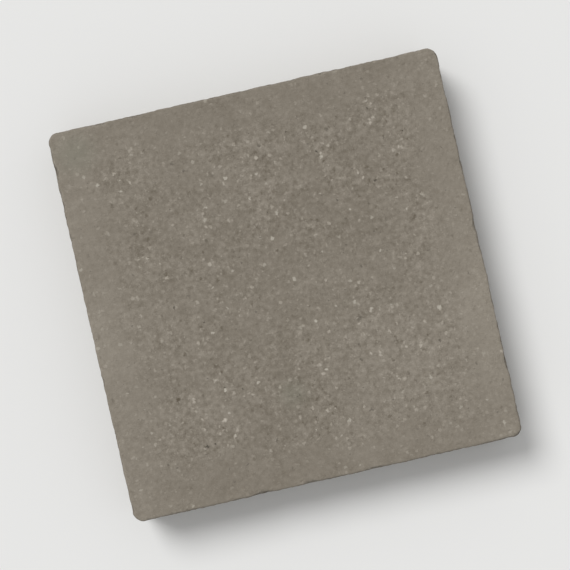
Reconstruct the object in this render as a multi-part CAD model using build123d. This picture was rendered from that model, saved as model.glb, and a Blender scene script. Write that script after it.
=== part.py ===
from build123d import *
import os

# Square concrete paving stone, pressed in one piece.
# Lengths are in millimetres. +Z is up, and the origin is the centre of the bed face.

# Driving dimensions
module_length = 300.0  # from one slab's centre to the next along X, joint included
module_width = 300.0  # the same along Y
joint_width = 3.0  # open joint between neighbours, which the slab leaves free
slab_thickness = 45.0  # bed face to walking face
corner_radius = 8.0  # the four upright corners, as the mould shapes them
walking_arris_radius = 1.5  # small rounding all round the walking face
bed_arris_chamfer = 1.0  # small bevel all round the bed face

# The slab is its laying module less one joint
slab_length = module_length - joint_width
slab_width = module_width - joint_width


def slab_outline():
    """Plan of the mould: a rectangle with rounded corners."""
    return RectangleRounded(slab_length, slab_width, corner_radius)


def pressed_block():
    """The outline carried straight up, because the mould's walls have no taper."""
    return extrude(slab_outline(), amount=slab_thickness)


def paving_slab():
    """The block with its two worn-in edge profiles: rounded above, bevelled below."""
    block = pressed_block()
    walking_edges = block.faces().sort_by(Axis.Z)[-1].edges()
    block = fillet(walking_edges, walking_arris_radius)
    bed_edges = block.faces().sort_by(Axis.Z)[0].edges()
    return chamfer(bed_edges, bed_arris_chamfer)


os.makedirs("parts", exist_ok=True)
export_step(paving_slab(), "parts/paving_slab.step")
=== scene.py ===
import math

import bpy
import numpy as np
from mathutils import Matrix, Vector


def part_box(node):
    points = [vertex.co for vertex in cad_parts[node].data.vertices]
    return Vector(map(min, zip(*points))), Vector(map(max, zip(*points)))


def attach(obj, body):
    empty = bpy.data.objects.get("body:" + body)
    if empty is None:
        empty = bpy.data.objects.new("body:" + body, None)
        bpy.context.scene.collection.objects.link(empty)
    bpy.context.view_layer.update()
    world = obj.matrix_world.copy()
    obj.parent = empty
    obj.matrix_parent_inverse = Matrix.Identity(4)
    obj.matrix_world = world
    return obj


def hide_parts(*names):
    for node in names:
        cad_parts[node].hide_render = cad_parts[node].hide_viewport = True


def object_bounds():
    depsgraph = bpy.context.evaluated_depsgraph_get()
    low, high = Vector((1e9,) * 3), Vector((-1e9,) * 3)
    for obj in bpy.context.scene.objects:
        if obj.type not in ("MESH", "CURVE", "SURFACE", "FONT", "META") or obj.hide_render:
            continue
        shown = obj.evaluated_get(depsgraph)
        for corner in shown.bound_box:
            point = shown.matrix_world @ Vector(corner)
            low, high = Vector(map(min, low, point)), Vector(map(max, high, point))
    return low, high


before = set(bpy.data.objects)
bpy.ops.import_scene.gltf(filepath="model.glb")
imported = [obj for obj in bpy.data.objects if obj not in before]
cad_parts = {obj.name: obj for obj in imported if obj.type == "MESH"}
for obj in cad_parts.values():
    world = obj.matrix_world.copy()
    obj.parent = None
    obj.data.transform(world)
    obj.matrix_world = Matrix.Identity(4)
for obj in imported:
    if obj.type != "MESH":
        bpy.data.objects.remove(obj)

cadLow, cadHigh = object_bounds()  # the CAD box, taken before anything is added
mm = 0.001  # metres in a millimetre
scene = bpy.context.scene
scene.view_settings.view_transform = "Standard"
print("frame loaded, CAD box", [round(side / mm, 1) for side in cadHigh - cadLow], "mm")


# The slab as cast and worn: lengths in millimetres, shares from 0 to 1
slab = {
    "name": "paving_slab_cast",
    # as moulded
    "cornerRadius": 8.0,  # the four upright corners in plan
    "arrisRadius": 1.5,  # rounding round the walking face, before wear
    "bedBevel": 1.0,  # bevel round the bed face
    # how finely it is meshed
    "across": 260,  # quads along each side of the rim, an even number
    "faceRim": 4.5,  # how far the fine rim reaches in over the walking face
    "bedRim": 2.0,  # and over the bed face
    "rimGap": 0.6,  # from there to the coarser grids of the two faces
    "faceRows": 4,
    "arrisRows": 5,
    "wallRows": 46,
    "bevelRows": 2,
    "bedRows": 1,
    "edgeCrowding": 1.8,  # extra lines at an edge, as a share of those in the middle
    "crowdedWidth": 5.0,  # how fast that dies away from the edge
    # wear along the arris
    "edgeWear": 0.50,  # what years of use add to its radius, on average
    "wearNoise": [(19, 0.40), (8.0, 0.45), (3.2, 0.40)],  # size and strength of its ups and downs
    "bites": 56,  # broken out of it
    "biteSize": (0.4, 3.2),  # how much a bite adds to its radius: most are small
    "biteLength": (2.0, 8.5),  # half of its length along the arris
    "biteGrain": (1.8, 0.35),  # size of the broken grain, and its depth as a share of the bite's size
    "bareLoss": 0.6,  # where this much of the arris is gone, its sand lies bare
    # relief, which only goes inwards: noise size and greatest depth of each layer
    "faceHollows": [(70, 0.05), (31, 0.033)],
    "hollowsFrom": 8.0,  # inset at which they have their full depth, at most the corner radius
    "faceGrain": [(6.0, 0.04), (2.6, 0.04)],
    "wallGrain": [(6.0, 0.22), (2.8, 0.36), (1.6, 0.34)],
    "wallDrag": [(15, 0.35), (6.0, 0.45), (2.2, 0.12)],  # upright, where it slid out of its mould
    "dragStretch": 14,  # how much longer than wide they are
    "bedGrain": [(6.0, 0.26), (2.6, 0.18)],
    "bedGrainFrom": 6.0,  # as hollowsFrom
    # pits: cell that may hold one, radii, share of cells that do, flattening
    "facePits": (9.0, (0.7, 1.7), 0.30, 0.45),
    "wallPits": (6.5, (0.7, 2.2), 0.50, 0.80),
    "patches": [
        # areas of the walking face: across, along, reach, how much lighter, how much more sand shows
        (-146, -17, 29, 0.110, 0.0),
        (146, -42, 38, 0.120, 0.0),
        (80, -84, 44, 0.080, 0.25),
        (42, 60, 46, -0.050, 0.0),
        (-18, 30, 58, -0.030, 0.0),
        (-34, -30, 40, 0.0, -0.15),
        (-28, -82, 32, -0.045, 0.0),
        (-34, -140, 44, -0.035, 0.0),
        (-24, 140, 32, -0.035, 0.0),
        (60, 84, 44, 0.0, 0.15),
    ],
    "seed": 20,  # each use adds a number of its own
}
noiseOrigin = 200.0  # millimetres, so that every point of the slab lies in a cell of positive number
densitySteps = 4000  # in which a density of lines is added up
tiny = 1e-6  # millimetres, in place of a length of nothing


# Places from 0 to length that stand closer together at the near end, and at the far end too if
# asked. Their density is 1 + crowding * exp(-distance from that end / width), added up along the
# length and cut into count equal shares.
def crowdedLines(length, count, farEndToo):
    fine = np.linspace(0, length, densitySteps + 1)
    density = 1 + slab["edgeCrowding"] * np.exp(-fine / slab["crowdedWidth"])
    if farEndToo:
        density += slab["edgeCrowding"] * np.exp((fine - length) / slab["crowdedWidth"])
    reached = np.concatenate([[0], np.cumsum((density[1:] + density[:-1]) / 2)])
    return np.interp(np.linspace(0, reached[-1], count + 1), reached, fine)


# Where a point of a square lies in plan. The core is the smaller square that the corner circles
# are centred on. The point has the place nearest to it in the core, and from there its direction
# outwards and its reach. The reach is the longer of its two parts, |x| and |y| less half the core,
# so the square's corners turn into quarter circles.
def planOf(square, core):
    inner = np.clip(square, -core, core)
    outer = square - inner
    outward = outer / np.maximum(np.linalg.norm(outer, axis=-1, keepdims=True), tiny)
    return inner, outward, np.abs(outer).max(axis=-1)


# Points of the section, each with its inset from the wall, its depth below the walking face, and
# how far its normal leans outwards and upwards
def sectionPoints(inset, depth, lean, rise):
    return np.column_stack(np.broadcast_arrays(inset, depth, lean, rise))


# The section from the walking face round to the bed: a flat rim, a quarter circle, the upright
# wall, the bevel and another flat rim
def sectionRows(thickness):
    radius, bevel = slab["arrisRadius"], slab["bedBevel"]
    over = np.linspace(slab["faceRim"], radius, slab["faceRows"] + 1)
    turn = np.linspace(0, math.pi / 2, slab["arrisRows"] + 1)[1:]
    sine, cosine = np.sin(turn), np.cos(turn)
    down = radius + crowdedLines(thickness - radius - bevel, slab["wallRows"], False)[1:]
    cut = np.linspace(0, bevel, slab["bevelRows"] + 1)[1:]
    under = np.linspace(bevel, slab["bedRim"], slab["bedRows"] + 1)[1:]
    slant = math.sqrt(0.5)
    return np.concatenate([
        sectionPoints(over, 0, 0, 1),
        sectionPoints(radius - radius * sine, radius - radius * cosine, sine, cosine),
        sectionPoints(0, down, 1, 0),
        sectionPoints(cut, thickness - bevel + cut, slant, -slant),
        sectionPoints(under, thickness, 0, -1),
    ])


# The outermost places of a square grid, counter-clockwise from its lowest corner
def rimOf(grid):
    return np.concatenate([grid[:-1, 0], grid[-1, :-1], grid[:0:-1, -1], grid[0, :0:-1]])


# Quads between neighbouring rows of indices. They face the side from which a step to the next
# row and then one to the next column turns to the left.
def quadsBetween(rows, closed):
    following = np.roll(rows, -1, axis=1) if closed else rows[:, 1:]
    first = rows if closed else rows[:, :-1]
    return np.stack([first[:-1], first[1:], following[1:], following[:-1]], -1).reshape(-1, 4)


# Five-sided faces between a ring and one with half as many points
def joinsBetween(fine, coarse):
    return np.stack([fine[::2], coarse, np.roll(coarse, -1), np.roll(fine, -2)[::2], fine[1::2]], -1)


# The faces, as lists of indices. The rim's rows of points come first, then the grid of the
# walking face, then that of the bed.
def slabFaces(rimShape, gridShape):
    rim = np.arange(math.prod(rimShape)).reshape(rimShape)
    faceGrid = rim.size + np.arange(math.prod(gridShape)).reshape(gridShape)
    bedGrid = faceGrid + faceGrid.size
    kinds = [
        quadsBetween(faceGrid, False),
        quadsBetween(rim, True),
        quadsBetween(bedGrid, False)[:, ::-1],
        joinsBetween(rim[0], rimOf(faceGrid))[:, ::-1],
        joinsBetween(rim[-1], rimOf(bedGrid)),
    ]
    return [face for kind in kinds for face in kind.tolist()]


# The slab as moulded: the section carried round the rim, and inside it two grids half as fine,
# one for the walking face and one for the bed. A grid's inset grows evenly from the rim to the
# corner radius. Every point has its core point and outward direction in plan, and its row of the
# section.
def mouldedForm(half, thickness):
    radius = slab["cornerRadius"]
    lines = crowdedLines(2 * half, slab["across"], True) - half
    square = np.stack(np.meshgrid(lines, lines, indexing="ij"), -1)
    coarse = square[::2, ::2]
    rim = rimOf(square)
    rows = sectionRows(thickness)
    rimInner, rimOutward = planOf(rim, half - radius)[:2]
    gridInner, gridOutward, gridReach = planOf(coarse.reshape(-1, 2), half - radius)
    faceInset = radius - gridReach * (radius - slab["faceRim"] - slab["rimGap"]) / radius
    bedInset = radius - gridReach * (radius - slab["bedRim"] - slab["rimGap"]) / radius
    section = np.concatenate([
        np.repeat(rows, len(rim), axis=0),
        sectionPoints(faceInset, 0, 0, 1),
        sectionPoints(bedInset, thickness, 0, -1),
    ])
    inset, depth, lean, rise = section.T
    form = {
        "inner": np.concatenate([np.tile(rimInner, (len(rows), 1)), gridInner, gridInner]),
        "outward": np.concatenate([np.tile(rimOutward, (len(rows), 1)), gridOutward, gridOutward]),
        "inset": inset,
        "depth": depth,
        "lean": lean,
        "rise": rise,
    }
    return form, slabFaces((len(rows), len(rim)), coarse.shape[:2])


# Where the points lie: in plan the core point plus the outward direction times what the inset
# leaves of the corner radius, and in height the thickness less the depth
def placed(form, thickness):
    reach = slab["cornerRadius"] - form["inset"]
    return np.column_stack([form["inner"] + form["outward"] * reach[:, None], thickness - form["depth"]])


# Noise from -1 to 1: each whole point of a grid holds a random number, and a point between them
# takes the eight round it, eased by 3t² - 2t³ along each axis.
def grainNoise(points, size, seed):
    cell = (points + noiseOrigin) / size
    low = np.floor(cell).astype(int)
    ease = cell - low
    ease = ease * ease * (3 - 2 * ease)
    held = np.random.default_rng(seed).uniform(-1, 1, low.max(axis=0) + 2)
    total = np.zeros(len(points))
    for corner in np.ndindex(2, 2, 2):
        weight = np.prod(np.where(corner, ease, 1 - ease), axis=1)
        total += weight * held[tuple((low + corner).T)]
    return total


# Layers of relief added up. Each goes in by its depth times the square of its noise, taken from 0
# to 1, which makes shallow places wider than deep ones.
def layeredRelief(points, layers, seed):
    relief = np.zeros(len(points))
    for number, (size, depth) in enumerate(layers):
        relief += depth * (0.5 + 0.5 * grainNoise(points, size, (seed, number))) ** 2
    return relief


# Bubbles in the mix: each cell of a grid may hold one ball at a random place in it. A point inside
# a ball lies flattening * radius * (1 - (distance / radius)²) deep.
def bubbleDepth(points, kind, seed):
    cellSize, radii, share, flattening = kind
    draw = np.random.default_rng(seed)
    cell = np.floor((points + noiseOrigin) / cellSize).astype(int)
    counts = cell.max(axis=0) + 2
    place = draw.random((*counts, 3))
    radius = draw.uniform(*radii, counts) * (draw.random(counts) < share) + tiny
    depth = np.zeros(len(points))
    for step in np.ndindex(3, 3, 3):
        near = tuple((cell + step - 1).T)
        centre = (cell + step - 1 + place[near]) * cellSize - noiseOrigin
        away = ((points - centre) ** 2).sum(axis=1) / radius[near] ** 2
        depth = np.maximum(depth, radius[near] * (1 - away))
    return depth * flattening


# Extra arris radius where bites are broken out: each bite is centred on the arris, and adds
# size * (1 - (distance / length)²) to the radius near it.
def bittenArris(points, half, thickness):
    draw = np.random.default_rng(slab["seed"])
    extra = np.zeros(len(points))
    for bite in range(slab["bites"]):
        along = draw.uniform(-half, half)
        size = np.interp(draw.random() ** 2, (0, 1), slab["biteSize"])
        length = draw.uniform(*slab["biteLength"])
        side = bite % 4 * math.pi / 2  # the four walls in turn
        east, north = math.cos(side), math.sin(side)
        centre = (half * east - along * north, half * north + along * east, thickness)
        away = ((points - centre) ** 2).sum(axis=1) / length**2
        extra = np.maximum(extra, size * (1 - away))
    return extra


# Inset and depth with the arris rounded to a radius of its own at each point: what lies outside
# the circle of that radius, in the corner between wall and walking face, moves in onto it.
def roundedOver(inset, depth, radius):
    fromCentre = np.stack([inset - radius, depth - radius])
    outside = np.maximum(np.linalg.norm(fromCentre, axis=0) / radius, 1)
    corner = (inset < radius) & (depth < radius)
    moved = radius + fromCentre / outside
    return np.where(corner, moved[0], inset), np.where(corner, moved[1], depth)


# Wear takes the arris back, further where it is bitten. Gives the size of the bites and how far
# each point has moved.
def wearArris(form, half, thickness):
    asCast = placed(form, thickness)
    bitten = bittenArris(asCast, half, thickness)
    wear = slab["edgeWear"]
    for number, (size, strength) in enumerate(slab["wearNoise"]):
        wear = wear + strength * grainNoise(asCast, size, (slab["seed"] + 1, number))
    radius = slab["arrisRadius"] + np.maximum(wear, 0) + bitten
    form["inset"], form["depth"] = roundedOver(form["inset"], form["depth"], radius)
    return bitten, np.linalg.norm(placed(form, thickness) - asCast, axis=1)


# How far the surface lies inside its smooth form, and how much of that is pits. Each part of the
# slab has its own layers, and their shares follow how the normal leans. Relief only ever goes
# inwards, so that the slab keeps to the CAD box.
def surfaceRelief(form, points, bitten):
    seed, inset, lean = slab["seed"], form["inset"], form["lean"]
    onFace, onBed = np.maximum(form["rise"], 0), np.maximum(-form["rise"], 0)
    hollowShare = np.clip(inset / slab["hollowsFrom"], 0, 1)
    relief = onFace * hollowShare * layeredRelief(points, slab["faceHollows"], seed + 2)
    relief += onFace * layeredRelief(points, slab["faceGrain"], seed + 3)
    relief += lean * layeredRelief(points, slab["wallGrain"], seed + 4)
    relief += lean * layeredRelief(points * (1, 1, 1 / slab["dragStretch"]), slab["wallDrag"], seed + 5)
    bedShare = np.clip(inset / slab["bedGrainFrom"], 0, 1)
    relief += onBed * bedShare * layeredRelief(points, slab["bedGrain"], seed + 6)
    relief += bitten * layeredRelief(points, [slab["biteGrain"]], seed + 7)
    facePits = bubbleDepth(points, slab["facePits"], seed + 8)
    pits = np.where(form["rise"] > lean, facePits, bubbleDepth(points, slab["wallPits"], seed + 9))
    return relief + pits, pits


# What the concrete reads from the mesh: where the arris is worn bare, where pits are, in full from
# a millimetre deep, and the patches of the walking face, each of which dies away as
# exp(-(distance / reach)²)
def surfaceMarks(form, points, lost, pits):
    marks = {
        "bare": np.clip(lost / slab["bareLoss"], 0, 1),
        # how deep the pits are, which the concrete darkens with soil and painted shade
        "hollow": np.clip(pits, 0, 1),
        "lighter": np.zeros(len(points)),
        "sandier": np.zeros(len(points)),
    }
    for x, y, reach, lighter, sandier in slab["patches"]:
        share = np.exp(-((points[:, 0] - x) ** 2 + (points[:, 1] - y) ** 2) / reach**2)
        share *= np.maximum(form["rise"], 0)
        marks["lighter"] += lighter * share
        marks["sandier"] += sandier * share
    return marks


# The whole slab as one closed mesh: moulded, worn along its arris, then roughened inwards
def castSlab():
    low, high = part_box("paving_slab")
    half = (high.x - low.x) / 2 / mm
    thickness = (high.z - low.z) / mm
    form, faces = mouldedForm(half, thickness)
    bitten, lost = wearArris(form, half, thickness)
    points = placed(form, thickness)
    relief, pits = surfaceRelief(form, points, bitten)
    points[:, :2] -= form["outward"] * (form["lean"] * relief)[:, None]
    points[:, 2] -= form["rise"] * relief

    mesh = bpy.data.meshes.new(slab["name"])
    mesh.from_pydata(points * mm, [], faces)
    mesh.polygons.foreach_set("use_smooth", np.ones(len(faces), bool))
    for label, values in surfaceMarks(form, points, lost, pits).items():
        layer = mesh.attributes.new(label, "FLOAT", "POINT")
        layer.data.foreach_set("value", values.astype(np.float32))
    mesh.update()
    piece = bpy.data.objects.new(slab["name"], mesh)
    scene.collection.objects.link(piece)
    print("slab meshed,", len(points), "points,", len(mesh.loops) - 2 * len(faces), "triangles")
    return piece


# The concrete: colours are linear, lengths in millimetres, tones are shares lighter or darker. A
# noise has its size and its span from lowest to highest.
concrete = {
    "name": "pressed_concrete",
    "cement": (0.2214, 0.1949, 0.1571),  # dry grey with a little brown
    "paleness": (0.2165, 0.2020, 0.1795),  # what it gains for a tone of 1, a little greyer
    "clouds": [(48, 0.14), (17, 0.26)],  # the wide mottling: size and span in tone
    "blotches": [(7.5, 0.44), (3.4, 0.80)],  # and the small, which shows where the sand does
    "paste": (0.60, 0.64, 0.14),  # size of its fine grain, span in tone and span in height
    "sand": [
        # cell that may hold a grain, share of cells that do, grain radius as a share, tone, height
        (0.80, 1.00, 0.60, 0.16, 0.04),
        (1.70, 0.80, 0.58, 0.22, 0.08),
        (3.40, 0.60, 0.46, 0.42, 0.10),
        (6.00, 0.45, 0.28, 0.50, 0.10),
    ],
    "sandBias": 0.13,  # how far the grains lean to the light side
    "sandWarp": (2.2, 3.8),  # noise that makes the grains uneven
    "gathering": (30, (0.36, 0.64), (0.76, 1.20)),  # where sand is loose: size, noise range, share
    "marginReach": (8, 44),  # the east and west margins of the face are lighter out to here
    "marginTone": 0.095,
    "marginWaver": (45, 40),  # noise in how far the margins reach
    "calmReach": (16, 42),  # all four are quieter out to here
    "calmShare": 0.50,  # share of the sand that shows at the arris
    "skinEnds": (0.4, 2.6),  # depths below the walking face over which its smooth skin ends
    "rawSand": 1.10,  # how strongly sand shows below that
    "rawHeight": 3.0,  # how many times as high it stands there
    "gaps": (2.7, (0.61, 0.76), 1.1, 0.70),  # between its grains: size, noise range, depth, and share of soil and painted shade in them
    "quartz": (8.5, 0.34, 0.19, (0.455, 0.422, 0.360, 1)),  # cell, share, radius as a share, colour
    "grit": (7.5, 0.24, 0.19, (0.092, 0.080, 0.063, 1)),
    "pinholes": (4.6, (0.12, 0.45), 0.11, (0.075, 0.065, 0.050, 1)),  # share on the skin and below it; their colour is painted shade in the holes
    "pinholeDepth": 0.45,
    "freshBreak": (0.290, 0.265, 0.225, 1),  # the grain laid bare along the arris
    "freshShare": 0.30,
    "moss": (0.190, 0.222, 0.166, 1),
    "mossSpots": [(-130, 130, 24, 0.17), (-12, -80, 17, 0.13)],  # across, along, reach and share
    "soilAndShade": (0.075, 0.058, 0.037, 1),  # what the joints leave on the walls, also used as painted shade: the joint's shade just below the arris, and shade in pits and gaps
    "soilAndShadeStart": (0.3, 2.4),  # none above this depth below the walking face, all of it below that
    "soilAndShadeFade": (4.0, 34.0),  # from and to these depths
    "soilAndShadeLeft": 0.3,  # it thins to this share
    "soilAndShadeShare": 0.60,
    "soilAndShadeClumps": (13, 6.0, (0.42, 0.66)),  # size, detail and noise range
    "hollowSoilAndShade": 0.45,  # share in the pits, where it is soil and painted shade
    "beddingSand": (0.290, 0.250, 0.190, 1),  # left on the bed face
    "beddingShare": 0.45,
    "beddingClumps": (20, 4.0, (0.35, 0.65)),
    "beddingHeight": (1.4, 0.4),  # none above this height, all of it below that
    "roughness": (7, (0.3, 0.7), (0.84, 0.97)),  # noise size, its range and the roughness
    "specular": 0.3,
    "noiseDetail": 2.0,
    "noiseRoughness": 0.55,
    "spotCore": 0.6,  # a spot is whole out to this share of its radius
}


# One node with its settings, and what feeds its sockets: another node's socket or a plain value
def addNode(tree, kind, feeds=None, **settings):
    node = tree.nodes.new("ShaderNode" + kind)
    for name, value in settings.items():
        setattr(node, name, value)
    for socket, source in (feeds or {}).items():
        if isinstance(source, bpy.types.NodeSocket):
            tree.links.new(source, node.inputs[socket])
        else:
            node.inputs[socket].default_value = source
    return node


# One number worked out from one or more others, taken in from left to right
def reckon(tree, operation, first, *others):
    if not others:
        return addNode(tree, "Math", {0: first}, operation=operation).outputs[0]
    total = first
    for other in others:
        total = addNode(tree, "Math", {0: total, 1: other}, operation=operation).outputs[0]
    return total


# The sum of its terms
def plus(tree, *terms):
    return reckon(tree, "ADD", *terms)


# The first less the second
def minus(tree, first, second):
    return reckon(tree, "SUBTRACT", first, second)


# The product of its factors
def times(tree, *factors):
    return reckon(tree, "MULTIPLY", *factors)


# A colour or place times a number
def scaled(tree, vector, factor):
    return addNode(tree, "VectorMath", {0: vector, "Scale": factor}, operation="SCALE").outputs[0]


# Two colours or places added up
def vectorSum(tree, first, second):
    return addNode(tree, "VectorMath", {0: first, 1: second}, operation="ADD").outputs[0]


# One colour over another, by a share from 0 to 1
def coat(tree, share, under, over):
    return addNode(tree, "Mix", {0: share, 6: under, 7: over}, data_type="RGBA").outputs[2]


# A value eased from one range to another by 3t² - 2t³
def eased(tree, value, fromRange, toRange=(0, 1)):
    feeds = {0: value, 1: fromRange[0], 2: fromRange[1], 3: toRange[0], 4: toRange[1]}
    return addNode(tree, "MapRange", feeds, interpolation_type="SMOOTHSTEP").outputs[0]


# Soft noise of one size: a number from 0 to 1, and a colour of three more
def softNoise(tree, place, size, detail=concrete["noiseDetail"]):
    roughness = concrete["noiseRoughness"]
    feeds = {"Vector": place, "Scale": 1 / size, "Detail": detail, "Roughness": roughness}
    return addNode(tree, "TexNoise", feeds).outputs


# Its number less a half, times the span
def mottle(tree, place, size, span):
    return times(tree, minus(tree, softNoise(tree, place, size)["Fac"], 0.5), span)


# Scattered spots: cells of one size, of which a share holds a round spot. Gives where the spots
# are, from 0 to 1, and a random number for each.
def spots(tree, place, cell, share, radius):
    cells = addNode(tree, "TexVoronoi", {"Vector": place, "Scale": 1 / cell})
    draw = addNode(tree, "SeparateColor", {0: cells.outputs["Color"]})
    held = reckon(tree, "LESS_THAN", draw.outputs[1], share)
    shape = eased(tree, cells.outputs["Distance"], (radius, radius * concrete["spotCore"]))
    return times(tree, held, shape), draw.outputs[0]


# Where the surface is, in millimetres: its place, the same place wobbled for the sand, its depth
# below the walking face and its height above the bed, its inset from the two side walls, which is
# half the slab's length less |x|, and from the nearest wall. The insets waver a little.
def readPlace(tree):
    place = scaled(tree, addNode(tree, "TexCoord").outputs["Object"], 1 / mm)
    warpSize, warpSpan = concrete["sandWarp"]
    warp = vectorSum(tree, softNoise(tree, place, warpSize)["Color"], (-0.5, -0.5, -0.5))
    x, y, z = addNode(tree, "SeparateXYZ", {0: place}).outputs
    half = (cadHigh.x - cadLow.x) / 2 / mm
    fromSides = minus(tree, half, reckon(tree, "ABSOLUTE", x))
    fromEnds = minus(tree, half, reckon(tree, "ABSOLUTE", y))
    waver = mottle(tree, place, *concrete["marginWaver"])
    return {
        "place": place,
        "sandPlace": vectorSum(tree, place, scaled(tree, warp, warpSpan)),
        "depth": minus(tree, cadHigh.z / mm, z),
        "height": z,
        "sideInset": plus(tree, fromSides, waver),
        "inset": plus(tree, reckon(tree, "MINIMUM", fromSides, fromEnds), waver),
    }


# How much of the smooth skin is gone: it ends below the arris, and where the arris is worn away
def rawShare(tree, at, bare):
    bareDepth = plus(tree, at["depth"], times(tree, bare, concrete["skinEnds"][1]))
    return eased(tree, bareDepth, concrete["skinEnds"])


# How strongly sand shows: in loose areas, less along the margins, most where there is no skin
def sandShare(tree, at, raw, sandier):
    size, noiseRange, shares = concrete["gathering"]
    gathered = eased(tree, softNoise(tree, at["place"], size)["Fac"], noiseRange, shares)
    calm = eased(tree, at["inset"], concrete["calmReach"], (concrete["calmShare"], 1))
    gathered = times(tree, gathered, calm, plus(tree, sandier, 1.0))
    return reckon(tree, "MAXIMUM", gathered, times(tree, raw, concrete["rawSand"]))


# Paste and sand, as a tone and a height. A grain's tone is its strength times the cube of
# 2 * draw - 1 + bias, where draw is random from 0 to 1, so most grains hardly show and a few show
# well.
def sandAndPaste(tree, at, raw):
    size, toneSpan, heightSpan = concrete["paste"]
    tone = mottle(tree, at["place"], size, toneSpan)
    height = mottle(tree, at["place"], size, heightSpan)
    for cell, share, radius, strength, rise in concrete["sand"]:
        grain, draw = spots(tree, at["sandPlace"], cell, share, radius)
        lean = plus(tree, times(tree, draw, 2.0), concrete["sandBias"] - 1)
        tone = plus(tree, tone, times(tree, grain, lean, lean, lean, strength))
        height = plus(tree, height, times(tree, grain, rise))
    return tone, times(tree, height, eased(tree, raw, (0, 1), (1, concrete["rawHeight"])))


# The tone is what shows where the sand does, and the clouds, the side margins and the patches
def wholeTone(tree, at, speckle, shownSand, raw, lighter):
    for size, span in concrete["blotches"]:
        speckle = plus(tree, speckle, mottle(tree, at["place"], size, span))
    tone = times(tree, speckle, shownSand)
    for size, span in concrete["clouds"]:
        tone = plus(tree, tone, mottle(tree, at["place"], size, span))
    margin = eased(tree, at["sideInset"], concrete["marginReach"], (concrete["marginTone"], 0))
    return plus(tree, tone, times(tree, margin, minus(tree, 1.0, raw)), lighter)


# Grains that stand out, pinholes, and the gaps between the grains where there is no skin; the
# pinholes are coloured with painted shade, the gaps with soil and painted shade
def standOuts(tree, at, colour, height, raw, shownSand):
    pinholeCell, pinholeShares, pinholeRadius, pinholeShadeColour = concrete["pinholes"]
    pinholeShare = eased(tree, raw, (0, 1), pinholeShares)
    pinholes = (pinholeCell, pinholeShare, pinholeRadius, pinholeShadeColour)
    # The pinholes' colour is painted shade in the holes
    for cell, share, radius, spotColour in (concrete["quartz"], concrete["grit"], pinholes):
        spot, draw = spots(tree, at["sandPlace"], cell, share, radius)
        colour = coat(tree, times(tree, spot, draw, shownSand), colour, spotColour)
    height = minus(tree, height, times(tree, spot, concrete["pinholeDepth"]))  # spot: the pinholes
    size, noiseRange, gapDepth, gapSoilAndShade = concrete["gaps"]
    gaps = times(tree, eased(tree, softNoise(tree, at["sandPlace"], size)["Fac"], noiseRange), raw)
    # Soil and painted shade in the gaps, which are also a bump
    colour = coat(tree, times(tree, gaps, gapSoilAndShade), colour, concrete["soilAndShade"])
    return colour, minus(tree, height, times(tree, gaps, gapDepth))


# Loose clumps, from 0 to 1
def clumps(tree, at, kind):
    size, detail, noiseRange = kind
    return eased(tree, softNoise(tree, at["place"], size, detail)["Fac"], noiseRange)


# What age leaves, with painted shade: broken grain along the arris, a breath of moss, soil and
# painted joint shade on the walls, soil and painted shade in the pits, and bedding sand underneath
def agedAndShaded(tree, at, colour, bare, hollow):
    colour = coat(tree, times(tree, bare, concrete["freshShare"]), colour, concrete["freshBreak"])
    for x, y, reach, share in concrete["mossSpots"]:
        fromCentre = vectorSum(tree, at["place"], (-x, -y, -cadHigh.z / mm))
        away = addNode(tree, "VectorMath", {0: fromCentre}, operation="LENGTH").outputs["Value"]
        colour = coat(tree, eased(tree, away, (reach, 0), (0, share)), colour, concrete["moss"])
    # Soil on the walls, which also paints the joint's shade: none on the walking face, most just below
    # the arris, thinning further down
    start = eased(tree, at["depth"], concrete["soilAndShadeStart"])
    fade = eased(tree, at["depth"], concrete["soilAndShadeFade"], (1, concrete["soilAndShadeLeft"]))
    soilAndShadeShare = times(tree, clumps(tree, at, concrete["soilAndShadeClumps"]), start, fade, concrete["soilAndShadeShare"])
    colour = coat(tree, soilAndShadeShare, colour, concrete["soilAndShade"])
    # Soil and painted shade in the pits, darker where they are deeper
    colour = coat(tree, times(tree, hollow, concrete["hollowSoilAndShade"]), colour, concrete["soilAndShade"])
    underside = eased(tree, at["height"], concrete["beddingHeight"], (0, concrete["beddingShare"]))
    bedding = times(tree, clumps(tree, at, concrete["beddingClumps"]), underside)
    return coat(tree, bedding, colour, concrete["beddingSand"])


# The material: cement plus its paleness times the tone, then what stands out and what age leaves, both
# with painted shade.
# Its heights are a bump, and its roughness has a noise of its own.
def mixConcrete():
    material = bpy.data.materials.new(concrete["name"])
    material.use_nodes = True
    tree = material.node_tree
    shader = tree.nodes["Principled BSDF"]
    labels = ("bare", "hollow", "lighter", "sandier")
    marks = [addNode(tree, "Attribute", attribute_name=label).outputs["Fac"] for label in labels]
    bare, hollow, lighter, sandier = marks

    at = readPlace(tree)
    raw = rawShare(tree, at, bare)
    shownSand = sandShare(tree, at, raw, sandier)
    speckle, height = sandAndPaste(tree, at, raw)
    tone = wholeTone(tree, at, speckle, shownSand, raw, lighter)
    colour = vectorSum(tree, concrete["cement"], scaled(tree, concrete["paleness"], tone))
    colour, height = standOuts(tree, at, colour, height, raw, shownSand)
    tree.links.new(agedAndShaded(tree, at, colour, bare, hollow), shader.inputs["Base Color"])

    size, noiseRange, roughRange = concrete["roughness"]
    roughness = eased(tree, softNoise(tree, at["place"], size)["Fac"], noiseRange, roughRange)
    tree.links.new(roughness, shader.inputs["Roughness"])
    shader.inputs["Specular IOR Level"].default_value = concrete["specular"]
    bump = addNode(tree, "Bump", {"Height": height, "Distance": mm, "Strength": 1.0})
    tree.links.new(bump.outputs[0], shader.inputs["Normal"])
    print("concrete mixed,", len(tree.nodes), "nodes")
    return material


pavingSlab = castSlab()
pavingSlab.data.materials.append(mixConcrete())
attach(pavingSlab, "root")
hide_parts("paving_slab")


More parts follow.
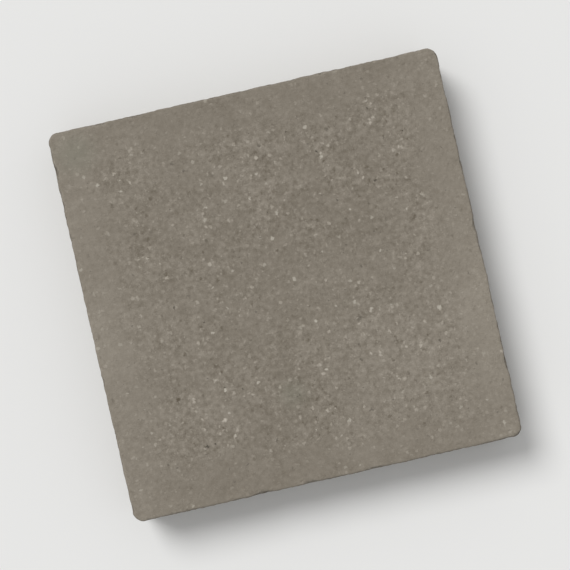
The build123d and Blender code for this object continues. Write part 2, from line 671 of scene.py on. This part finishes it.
# The room: a pale floor out to the horizon, one soft sun to the upper left of the picture, and an
# even sky. Sun and sky together light a level face so that a colour renders as it is written.
room = {
    "floorColour": (0.80, 0.80, 0.79, 1),
    "floorHalf": 60.0,  # metres
    "skyStrength": 0.50,
    "skySeen": (0.80, 0.80, 0.79, 1),  # what the camera sees past the floor
    "sunHeight": 50.0,  # degrees above the horizon
    "sunTurn": 32.0,  # degrees from north towards west
    "sunSpread": 28.0,  # degrees across, which keeps the shadows soft
}


# A level square of matt paint, far wider than the picture
def layFloor():
    reach = room["floorHalf"]
    corners = [(-reach, -reach, 0), (reach, -reach, 0), (reach, reach, 0), (-reach, reach, 0)]
    mesh = bpy.data.meshes.new("floor")
    mesh.from_pydata(corners, [], [(0, 1, 2, 3)])
    floor = bpy.data.objects.new("floor", mesh)
    scene.collection.objects.link(floor)
    paint = bpy.data.materials.new("pale_floor")
    paint.use_nodes = True
    shader = paint.node_tree.nodes["Principled BSDF"]
    shader.inputs["Base Color"].default_value = room["floorColour"]
    shader.inputs["Roughness"].default_value = 1.0
    shader.inputs["Specular IOR Level"].default_value = 0.0
    mesh.materials.append(paint)


# The sky lights the slab evenly, and the camera and reflections see it in the floor's colour
def hangSky():
    sky = bpy.data.worlds.new("even_sky")
    sky.use_nodes = True
    tree = sky.node_tree
    light = tree.nodes["Background"]
    light.inputs["Color"].default_value = (1, 1, 1, 1)
    light.inputs["Strength"].default_value = room["skyStrength"]
    seen = addNode(tree, "Background", {"Color": room["skySeen"]})
    path = addNode(tree, "LightPath")
    direct = reckon(tree, "MAXIMUM", path.outputs["Is Camera Ray"], path.outputs["Is Glossy Ray"])
    both = addNode(tree, "MixShader", {0: direct, 1: light.outputs[0], 2: seen.outputs[0]})
    tree.links.new(both.outputs[0], tree.nodes["World Output"].inputs["Surface"])
    scene.world = sky


# The sun gives a level face pi times what the sky leaves, so its strength is that over the sine
# of its height
def hangSun():
    lamp = bpy.data.lights.new("soft_sun", "SUN")
    height, turn = math.radians(room["sunHeight"]), math.radians(room["sunTurn"])
    lamp.energy = math.pi * (1 - room["skyStrength"]) / math.sin(height)
    lamp.angle = math.radians(room["sunSpread"])
    sun = bpy.data.objects.new("soft_sun", lamp)
    sun.rotation_euler = (math.pi / 2 - height, 0, turn - math.pi)
    scene.collection.objects.link(sun)


# The camera looks straight down, as the photograph does, and is turned so that the slab lies at
# the photograph's angle.
view = {
    "pictureWidth": 570,  # pixels
    "slabWidth": 400,  # pixels
    "slabTurn": 12.84,  # degrees that the slab's rows climb to the right in the photograph
    "lens": 90.0,  # millimetres
    "sensor": 36.0,  # millimetres
}


# The picture is as wide as the slab times pictureWidth / slabWidth, and the camera stands that
# width times lens / sensor above the walking face.
def setCamera():
    low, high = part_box("paving_slab")
    seenWidth = (high.x - low.x) * view["pictureWidth"] / view["slabWidth"]
    height = high.z + seenWidth * view["lens"] / view["sensor"]
    data = bpy.data.cameras.new("overhead")
    data.lens = view["lens"]
    data.sensor_width = view["sensor"]
    camera = bpy.data.objects.new("overhead", data)
    camera.location = (0, 0, height)
    camera.rotation_euler = (0, 0, math.radians(-view["slabTurn"]))
    scene.collection.objects.link(camera)
    scene.camera = camera


layFloor()
hangSky()
hangSun()
setCamera()
print("floor, light and camera in place")
